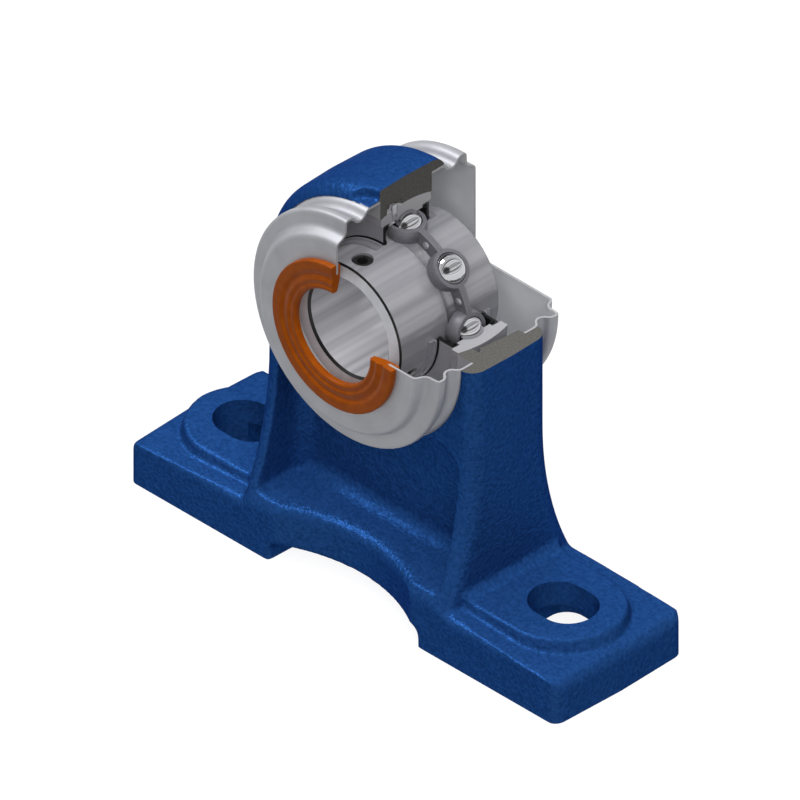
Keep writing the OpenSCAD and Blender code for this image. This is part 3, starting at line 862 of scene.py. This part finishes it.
def make_seal(rubber):
    """The seal moulded round the edge of the front cover's hole, with two ridges beside its lip."""
    slack = 0.05 * MM
    outside_sheet = COVER_FACE + slack
    inside_sheet = COVER_FACE - SHEET - slack
    face = [
        (LIP_R, 27.4 * MM), (LIP_R, 28.2 * MM),                        # lip
        (15.2 * MM, 28.58 * MM), (16.2 * MM, 28.15 * MM),              # first ridge
        (17.15 * MM, 28.68 * MM), (18.9 * MM, 28 * MM),                # second ridge
        (20 * MM, SEAL_FACE), (SEAL_R, SEAL_FACE), (SEAL_R, outside_sheet),
    ]
    groove = [(COVER_HOLE_R - slack, outside_sheet), (COVER_HOLE_R - slack, inside_sheet)]
    back_r = 22.9 * MM
    back_face = 25.25 * MM
    back = [
        (back_r, inside_sheet), (back_r, back_face), (20.2 * MM, back_face),
        (17.2 * MM, 25.6 * MM), (LIP_R, 26.5 * MM), (LIP_R, 27.2 * MM),
    ]
    outline = [*rounded(face, SEAL_BEND, 5), *groove, *rounded(back, SEAL_BEND, 5)]
    outline = [(radius, -y) for radius, y in outline]
    made = sweep_round_shaft("front_lip_seal", outline, [0] * len(outline), 0)
    made.data.materials.append(rubber)
    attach(made, "housing")
    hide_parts("front_cover_seal")


def make_camera():
    """The photo's orthographic view, aimed so that the origin lands on its pixel."""
    azimuth, elevation = math.radians(CAMERA_AZIMUTH), math.radians(CAMERA_ELEVATION)
    level = math.cos(elevation)
    back = Vector((math.sin(azimuth) * level, -math.cos(azimuth) * level, math.sin(elevation)))
    turn = (-back).to_track_quat("-Z", "Y")
    metres_per_pixel = MM / PIXELS_PER_MM
    right = turn @ Vector((1, 0, 0)) * (PHOTO_SIDE / 2 - AIM_PIXEL[0]) * metres_per_pixel
    up = turn @ Vector((0, 1, 0)) * (AIM_PIXEL[1] - PHOTO_SIDE / 2) * metres_per_pixel
    data = bpy.data.cameras.new("camera")
    data.type = "ORTHO"
    data.ortho_scale = PHOTO_SIDE * metres_per_pixel
    data.clip_start, data.clip_end = 0.01, 10
    camera = bpy.data.objects.new("camera", data)
    camera.rotation_mode = "QUATERNION"
    camera.rotation_quaternion = turn
    camera.location = right + up + back * CAMERA_DISTANCE
    bpy.context.scene.collection.objects.link(camera)
    bpy.context.scene.camera = camera


def add_sun(name, from_where, irradiance, angle, lights=True, shines=True, shadow=True):
    """A wide distant lamp, which may light surfaces, shine in them and cast shadows."""
    data = bpy.data.lights.new(name, "SUN")
    data.energy = irradiance
    data.angle = math.radians(angle)
    data.use_shadow = shadow
    lamp = bpy.data.objects.new(name, data)
    lamp.rotation_mode = "QUATERNION"
    lamp.rotation_quaternion = (-Vector(from_where)).to_track_quat("-Z", "Y")
    lamp.visible_diffuse, lamp.visible_glossy = lights, shines
    bpy.context.scene.collection.objects.link(lamp)


def seen_directly(tree):
    """1 for what the camera sees itself, mirrored or through glass, and 0 for rays that gather soft light."""
    ray = add_node(tree, "ShaderNodeLightPath")
    glossy = add_node(tree, "ShaderNodeMath", {
        0: ray.outputs["Is Camera Ray"], 1: ray.outputs["Is Glossy Ray"],
    }, operation="MAXIMUM").outputs[0]
    return add_node(tree, "ShaderNodeMath", {
        0: glossy, 1: ray.outputs["Is Transmission Ray"],
    }, operation="MAXIMUM").outputs[0]


def make_floor():
    """A pale floor that the camera sees white, with a soft shadow, and that throws little light back."""
    data = bpy.data.meshes.new("floor")
    side = 6.0
    corners = [(-side, -side, 0), (side, -side, 0), (side, side, 0), (-side, side, 0)]
    data.from_pydata(corners, [], [(0, 1, 2, 3)])
    floor = bpy.data.objects.new("floor", data)
    bpy.context.scene.collection.objects.link(floor)
    material, tree, output = new_material("pale_floor")
    grey = add_node(tree, "ShaderNodeBsdfDiffuse", {"Color": linear("#606060")})
    pale = add_node(tree, "ShaderNodeBsdfDiffuse", {"Color": linear("#9a9a9a")})
    glow = add_node(tree, "ShaderNodeEmission", {"Color": linear("#ffffff"), "Strength": 0.74})
    shown = add_node(tree, "ShaderNodeAddShader", {0: pale.outputs["BSDF"], 1: glow.outputs["Emission"]})
    mixed = add_node(tree, "ShaderNodeMixShader", {
        0: seen_directly(tree), 1: grey.outputs["BSDF"], 2: shown.outputs["Shader"],
    })
    tree.links.new(mixed.outputs["Shader"], output.inputs["Surface"])
    data.materials.append(material)


def make_lamps():
    """A soft lamp overhead, one at the camera, and one from the left that only shines in metal and paint.

    The first casts no shadow, because the photo shows none of the cover's on the ring.
    """
    add_sun("key", (-0.1, -0.06, 0.99), 1.9, 50, shines=False, shadow=False)
    add_sun("fill", (0.577, -0.577, 0.577), 1.12, 40, shines=False)
    add_sun("shine", (-0.58, -0.22, 0.79), 2.7, 22, lights=False)


def make_sky():
    """A soft sky, brightest overhead, with rows of lamps in it for what mirrors, and a white background."""
    world = bpy.data.worlds.new("sky")
    world.use_nodes = True
    bpy.context.scene.world = world
    tree = world.node_tree
    tree.nodes.clear()
    output = add_node(tree, "ShaderNodeOutputWorld")
    towards = add_node(tree, "ShaderNodeTexCoord").outputs["Generated"]
    apart = add_node(tree, "ShaderNodeSeparateXYZ", {"Vector": towards})
    up = apart.outputs["Z"]
    height = add_node(tree, "ShaderNodeMath", {0: up, 1: 0.0}, operation="MAXIMUM").outputs[0]
    overhead = add_node(tree, "ShaderNodeMath", {0: height, 1: 2.0}, operation="POWER").outputs[0]
    strength = add_node(tree, "ShaderNodeMath", {0: overhead, 1: 0.62}, operation="MULTIPLY").outputs[0]
    sky = add_node(tree, "ShaderNodeBackground", {"Color": linear("#ffffff"), "Strength": strength})
    # What steel mirrors: rows of soft lamps over the shaft, and the dark of the room round the camera
    turn = add_node(tree, "ShaderNodeMath", {0: apart.outputs["X"], 1: up}, operation="ARCTAN2").outputs[0]
    rows = add_node(tree, "ShaderNodeTexNoise", {
        "W": turn, "Scale": 5.0, "Detail": 2.0,
    }, noise_dimensions="1D")
    lamps = spread(tree, rows.outputs["Fac"], 0.35, 0.65, 0.12, 1.4)
    near_camera = add_node(tree, "ShaderNodeVectorMath", {
        0: towards, 1: (0.42, -0.74, 0.52),
    }, operation="DOT_PRODUCT")
    dark = spread(tree, near_camera.outputs["Value"], 0.86, 0.95, 1.0, 0.12)
    mirrored = add_node(tree, "ShaderNodeMath", {0: lamps, 1: dark}, operation="MULTIPLY").outputs[0]
    ray = add_node(tree, "ShaderNodeLightPath")
    seen = add_node(tree, "ShaderNodeMath", {
        0: mirrored, 1: ray.outputs["Is Camera Ray"],
    }, operation="MAXIMUM").outputs[0]
    white = add_node(tree, "ShaderNodeBackground", {"Color": linear("#ffffff"), "Strength": seen})
    mixed = add_node(tree, "ShaderNodeMixShader", {
        0: seen_directly(tree), 1: sky.outputs["Background"], 2: white.outputs["Background"],
    })
    tree.links.new(mixed.outputs["Shader"], output.inputs["Surface"])


make_camera()
make_floor()
make_lamps()
make_sky()
bpy.context.scene.view_settings.view_transform = "Standard"

# The housing: painted, milled open and turned
enamel = enamel_on_cast_iron()
milled_iron = milled_grey_iron()
turned_iron = turned_grey_iron()
dress_housing(NODES["housing"].data, enamel, milled_iron, turned_iron)
make_casting(enamel, milled_iron, turned_iron)

# The covers, each with an outside, an inside and a sawn edge, and the orange seal
sheets = (
    pressed_steel_sheet("tumbled_stainless_sheet", "#a1a2a7", "#abacb1", 0.6),
    # The inside is painted far lighter than the outside, to stand in for light that the cover's shade keeps
    # off
    pressed_steel_sheet("stainless_sheet_inside_painted_lighter", "#d8d9dc", "#e2e3e6", 0.1),
    pressed_steel_sheet("sawn_stainless_sheet", "#acacb0", "#b8b8bc", 0.2),
)
for name, hole_r, side in (("front_cover", COVER_HOLE_R, -1), ("rear_cover", CLOSED_R, 1)):
    dress_cover(name, *sheets)
    make_cover(name, hole_r, side, sheets)
orange = moulded_rubber("moulded_orange_rubber", "#9e4a08", "#ac540c", 0.3)
dress(["front_cover_seal"], orange)
make_seal(orange)

# The rings
# The ends and the bore are painted lighter than the ground outside, to stand in for light that the covers'
# shade keeps off
ground = bearing_steel("ground_bearing_steel", "#8c8c92", "#adadb2", 0.14, 0.14)
turned_steel_painted_lighter = bearing_steel("turned_bearing_steel_painted_lighter", "#d0d2d9", "#dcdee5", 0.15, 0.34)
sawn_steel = bearing_steel("sawn_bearing_steel", "#a8a8ad", "#b6b6ba", 0.1, 0.4)
honed_steel_painted_lighter = bearing_steel("honed_bearing_steel_painted_lighter", "#acacb2", "#d8d8dc", 0.2, 0.16)
# Near black: a painted shade on the inner ring's chamfers, and also on the seal plates' cut faces
near_black = phosphated_sheet("near_black_steel", "#0e0e0f", "#1a1a1c", 0.3)
dress_inner_ring(ground, turned_steel_painted_lighter, honed_steel_painted_lighter, near_black)
dress_cut("outer_ring", ground, sawn_steel)

# The balls, the cage, the bearing's seals and the small pieces
dress([f"ball_{i}" for i in range(1, BALLS + 1)], lapped_ball_steel())
dress(["cage_front", "cage_rear"], phosphated_sheet("phosphated_cage_sheet", "#6c6c72", "#7e7e84", 0.3))
seal_sheet = phosphated_sheet("phosphated_seal_sheet", "#8a8a90", "#9a9aa0", 0.1)
dress_cut("front_seal_plate", seal_sheet, near_black)
dress_cut("rear_seal_plate", seal_sheet, near_black)
dress(["front_seal_lip", "rear_seal_lip"], moulded_rubber("moulded_black_rubber", "#161618", "#202022", 0.5))
dress(["set_screw_1", "set_screw_2"], black_oxide_steel())
bright = bright_turned_steel()
dress(["cage_rivets", "front_flinger", "rear_flinger", "locating_pin"], bright)
make_rivets(bright)
for name in ("front_flinger", "rear_flinger"):
    saw_open(name, bright)
